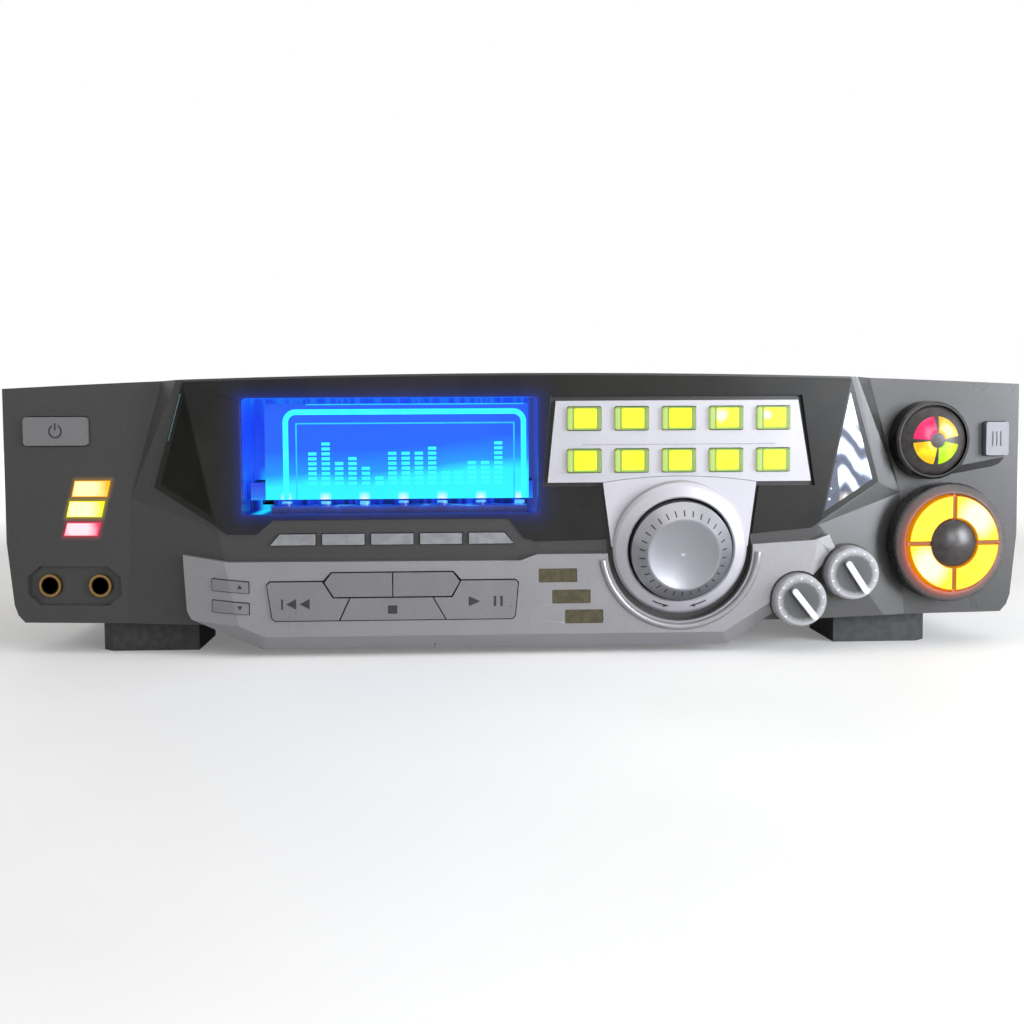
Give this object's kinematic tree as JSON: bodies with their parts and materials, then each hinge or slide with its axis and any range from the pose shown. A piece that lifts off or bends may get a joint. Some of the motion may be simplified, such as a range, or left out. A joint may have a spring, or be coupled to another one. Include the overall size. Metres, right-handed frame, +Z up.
{
  "type": "karaoke machine",
  "caption": "Tabletop karaoke machine with a motorised disc tray, lit key pads, a jog dial, level knobs and microphone jacks.",
  "frame": {"origin": "centre of the whole object's footprint, at the level that its feet stand on", "axes": "+X to the right seen from the front, +Y from the front to the back, +Z up"},
  "size_m": [0.45, 0.3458, 0.1216],
  "materials": {
    "graphite_plastic": "painted satin graphite",
    "gloss_black": "polished",
    "pod_plastic": "satin gloss",
    "silver_plastic": "warm silver paint, fine metallic",
    "pale_silver": "pale silver paint",
    "dial_silver": "fine satin",
    "key_silver": "silver plated",
    "tone_grey": "satin",
    "lamp_yellow": "clear cap lit from behind",
    "pad_yellow": "translucent, lit from behind",
    "pad_dark": "smoked, polished",
    "olive_window": "smoked",
    "lens_lit": "translucent, lit from behind",
    "gold": "gold plated",
    "bay_black": "gloss",
    "led_white": "lit",
    "clear_plate": "clear, edge lit",
    "tray_plastic": "moulded",
    "frame_plastic": "moulded",
    "gear_nylon": "natural nylon",
    "pickup_metal": "die cast",
    "board_green": "solder mask",
    "winding": "lacquered",
    "zinc": "zinc plated",
    "case_metal": "fine textured paint",
    "socket_plastic": "moulded",
    "foot_plastic": "moulded",
    "screw_steel": "blackened"
  },
  "bodies": {
    "console": {"front_fascia": "graphite_plastic", "window_cover": "gloss_black", "lower_panel": "silver_plastic", "key_panel": "pale_silver", "dial_flange": "pale_silver", "bay_frame": "bay_black", "led_bar": "led_white", "legend_windows": "olive_window", "indicator_lenses": "lens_lit", "mic_jacks": "gold", "large_pod_housing": "pod_plastic", "small_pod_housing": "graphite_plastic", "loader_frame": "frame_plastic", "front_board": "board_green", "main_board": "board_green", "power_supply": "winding", "bottom_chassis": "zinc", "top_cover": "case_metal", "rear_panel": "case_metal", "rear_sockets": "socket_plastic", "feet": "foot_plastic", "screws": "screw_steel"},
    "tray": {"disc_tray": "tray_plastic", "tray_front_plate": "clear_plate"},
    "tone_button_1": {"tone_button_1": "tone_grey"},
    "tone_button_2": {"tone_button_2": "tone_grey"},
    "tone_button_3": {"tone_button_3": "tone_grey"},
    "tone_button_4": {"tone_button_4": "tone_grey"},
    "tone_button_5": {"tone_button_5": "tone_grey"},
    "cancel_button": {"cancel_button": "key_silver"},
    "memory_button": {"memory_button": "key_silver"},
    "rewind_button": {"rewind_button": "key_silver"},
    "stop_button": {"stop_button": "key_silver"},
    "play_button": {"play_button": "key_silver"},
    "pitch_up_button": {"pitch_up_button": "key_silver"},
    "pitch_down_button": {"pitch_down_button": "key_silver"},
    "lamp_key_1": {"lamp_key_1": "lamp_yellow"},
    "lamp_key_2": {"lamp_key_2": "lamp_yellow"},
    "lamp_key_3": {"lamp_key_3": "lamp_yellow"},
    "lamp_key_4": {"lamp_key_4": "lamp_yellow"},
    "lamp_key_5": {"lamp_key_5": "lamp_yellow"},
    "lamp_key_6": {"lamp_key_6": "lamp_yellow"},
    "lamp_key_7": {"lamp_key_7": "lamp_yellow"},
    "lamp_key_8": {"lamp_key_8": "lamp_yellow"},
    "lamp_key_9": {"lamp_key_9": "lamp_yellow"},
    "lamp_key_10": {"lamp_key_10": "lamp_yellow"},
    "power_button": {"power_button": "tone_grey"},
    "pad_segment_1": {"pad_segment_1": "pad_yellow"},
    "pad_segment_2": {"pad_segment_2": "pad_yellow"},
    "pad_segment_3": {"pad_segment_3": "pad_yellow"},
    "pad_segment_4": {"pad_segment_4": "pad_yellow"},
    "pad_centre": {"pad_centre": "pad_dark"},
    "small_pad_dome": {"small_pad_dome": "pad_dark"},
    "side_button": {"side_button": "tone_grey"},
    "jog_dial": {"jog_dial": "dial_silver"},
    "knob_lower": {"knob_lower": "dial_silver"},
    "knob_upper": {"knob_upper": "dial_silver"},
    "loading_gear": {"loading_gear": "gear_nylon"},
    "turntable": {"turntable": "frame_plastic"},
    "optical_pickup": {"optical_pickup": "pickup_metal"}
  },
  "joints": [
    {"name": "tone_button_1_press", "type": "slide", "parent": "console", "child": "tone_button_1", "axis": [0, 1, 0], "range_m": [0, 0.001], "stiffness_N_per_m": 250},
    {"name": "tone_button_2_press", "type": "slide", "parent": "console", "child": "tone_button_2", "axis": [0, 1, 0], "range_m": [0, 0.001], "stiffness_N_per_m": 250},
    {"name": "tone_button_3_press", "type": "slide", "parent": "console", "child": "tone_button_3", "axis": [0, 1, 0], "range_m": [0, 0.001], "stiffness_N_per_m": 250},
    {"name": "tone_button_4_press", "type": "slide", "parent": "console", "child": "tone_button_4", "axis": [0, 1, 0], "range_m": [0, 0.001], "stiffness_N_per_m": 250},
    {"name": "tone_button_5_press", "type": "slide", "parent": "console", "child": "tone_button_5", "axis": [0, 1, 0], "range_m": [0, 0.001], "stiffness_N_per_m": 250},
    {"name": "cancel_button_press", "type": "slide", "parent": "console", "child": "cancel_button", "axis": [0, 1, 0], "range_m": [0, 0.0012], "stiffness_N_per_m": 250},
    {"name": "memory_button_press", "type": "slide", "parent": "console", "child": "memory_button", "axis": [0, 1, 0], "range_m": [0, 0.0012], "stiffness_N_per_m": 250},
    {"name": "rewind_button_press", "type": "slide", "parent": "console", "child": "rewind_button", "axis": [0, 1, 0], "range_m": [0, 0.0012], "stiffness_N_per_m": 250},
    {"name": "stop_button_press", "type": "slide", "parent": "console", "child": "stop_button", "axis": [0, 1, 0], "range_m": [0, 0.0012], "stiffness_N_per_m": 250},
    {"name": "play_button_press", "type": "slide", "parent": "console", "child": "play_button", "axis": [0, 1, 0], "range_m": [0, 0.0012], "stiffness_N_per_m": 250},
    {"name": "pitch_up_button_press", "type": "slide", "parent": "console", "child": "pitch_up_button", "axis": [0, 1, 0], "range_m": [0, 0.001], "stiffness_N_per_m": 250},
    {"name": "pitch_down_button_press", "type": "slide", "parent": "console", "child": "pitch_down_button", "axis": [0, 1, 0], "range_m": [0, 0.001], "stiffness_N_per_m": 250},
    {"name": "lamp_key_1_press", "type": "slide", "parent": "console", "child": "lamp_key_1", "axis": [0, 1, 0], "range_m": [0, 0.0012], "stiffness_N_per_m": 250},
    {"name": "lamp_key_2_press", "type": "slide", "parent": "console", "child": "lamp_key_2", "axis": [0, 1, 0], "range_m": [0, 0.0012], "stiffness_N_per_m": 250},
    {"name": "lamp_key_3_press", "type": "slide", "parent": "console", "child": "lamp_key_3", "axis": [0, 1, 0], "range_m": [0, 0.0012], "stiffness_N_per_m": 250},
    {"name": "lamp_key_4_press", "type": "slide", "parent": "console", "child": "lamp_key_4", "axis": [0, 1, 0], "range_m": [0, 0.0012], "stiffness_N_per_m": 250},
    {"name": "lamp_key_5_press", "type": "slide", "parent": "console", "child": "lamp_key_5", "axis": [0, 1, 0], "range_m": [0, 0.0012], "stiffness_N_per_m": 250},
    {"name": "lamp_key_6_press", "type": "slide", "parent": "console", "child": "lamp_key_6", "axis": [0, 1, 0], "range_m": [0, 0.0012], "stiffness_N_per_m": 250},
    {"name": "lamp_key_7_press", "type": "slide", "parent": "console", "child": "lamp_key_7", "axis": [0, 1, 0], "range_m": [0, 0.0012], "stiffness_N_per_m": 250},
    {"name": "lamp_key_8_press", "type": "slide", "parent": "console", "child": "lamp_key_8", "axis": [0, 1, 0], "range_m": [0, 0.0012], "stiffness_N_per_m": 250},
    {"name": "lamp_key_9_press", "type": "slide", "parent": "console", "child": "lamp_key_9", "axis": [0, 1, 0], "range_m": [0, 0.0012], "stiffness_N_per_m": 250},
    {"name": "lamp_key_10_press", "type": "slide", "parent": "console", "child": "lamp_key_10", "axis": [0, 1, 0], "range_m": [0, 0.0012], "stiffness_N_per_m": 250},
    {"name": "power_button_press", "type": "slide", "parent": "console", "child": "power_button", "axis": [0.1123, 0.9937, 0], "range_m": [0, 0.0012], "stiffness_N_per_m": 250},
    {"name": "pad_segment_1_press", "type": "slide", "parent": "console", "child": "pad_segment_1", "axis": [-0.1123, 0.9937, 0], "range_m": [0, 0.001], "stiffness_N_per_m": 250},
    {"name": "pad_segment_2_press", "type": "slide", "parent": "console", "child": "pad_segment_2", "axis": [-0.1123, 0.9937, 0], "range_m": [0, 0.001], "stiffness_N_per_m": 250},
    {"name": "pad_segment_3_press", "type": "slide", "parent": "console", "child": "pad_segment_3", "axis": [-0.1123, 0.9937, 0], "range_m": [0, 0.001], "stiffness_N_per_m": 250},
    {"name": "pad_segment_4_press", "type": "slide", "parent": "console", "child": "pad_segment_4", "axis": [-0.1123, 0.9937, 0], "range_m": [0, 0.001], "stiffness_N_per_m": 250},
    {"name": "pad_centre_press", "type": "slide", "parent": "console", "child": "pad_centre", "axis": [-0.1123, 0.9937, 0], "range_m": [0, 0.0012], "stiffness_N_per_m": 250},
    {"name": "small_pad_dome_press", "type": "slide", "parent": "console", "child": "small_pad_dome", "axis": [-0.1123, 0.9937, 0], "range_m": [0, 0.0012], "stiffness_N_per_m": 250},
    {"name": "side_button_press", "type": "slide", "parent": "console", "child": "side_button", "axis": [-0.1123, 0.9937, 0], "range_m": [0, 0.001], "stiffness_N_per_m": 250},
    {"name": "jog_turn", "type": "hinge", "parent": "console", "child": "jog_dial", "pos_m": [0.0685, -0.15811, 0.0458], "axis": [0, -0.9877, -0.1564], "continuous": true},
    {"name": "knob_lower_turn", "type": "hinge", "parent": "console", "child": "knob_lower", "pos_m": [0.12, -0.15671, 0.0232], "axis": [0, -1, 0], "range_deg": [-8, 292]},
    {"name": "knob_upper_turn", "type": "hinge", "parent": "console", "child": "knob_upper", "pos_m": [0.1432, -0.15511, 0.0344], "axis": [0, -1, 0], "range_deg": [-3, 297]},
    {"name": "tray_slide", "type": "slide", "parent": "console", "child": "tray", "axis": [0, -1, 0], "range_m": [0, 0.132]},
    {"name": "loading_gear_turn", "type": "hinge", "parent": "console", "child": "loading_gear", "pos_m": [-0.1034, -0.11011, 0.065], "axis": [0, 0, 1], "range_deg": [-5, 960]},
    {"name": "turntable_spin", "type": "hinge", "parent": "console", "child": "turntable", "pos_m": [-0.056, -0.07551, 0.064], "axis": [0, 0, 1], "continuous": true},
    {"name": "pickup_slide", "type": "slide", "parent": "console", "child": "optical_pickup", "axis": [0, 1, 0], "range_m": [0, 0.034]}
  ],
  "couplings": [
    {"joint": "loading_gear_turn", "follows": "tray_slide", "rad_per_m": 125}
  ]
}
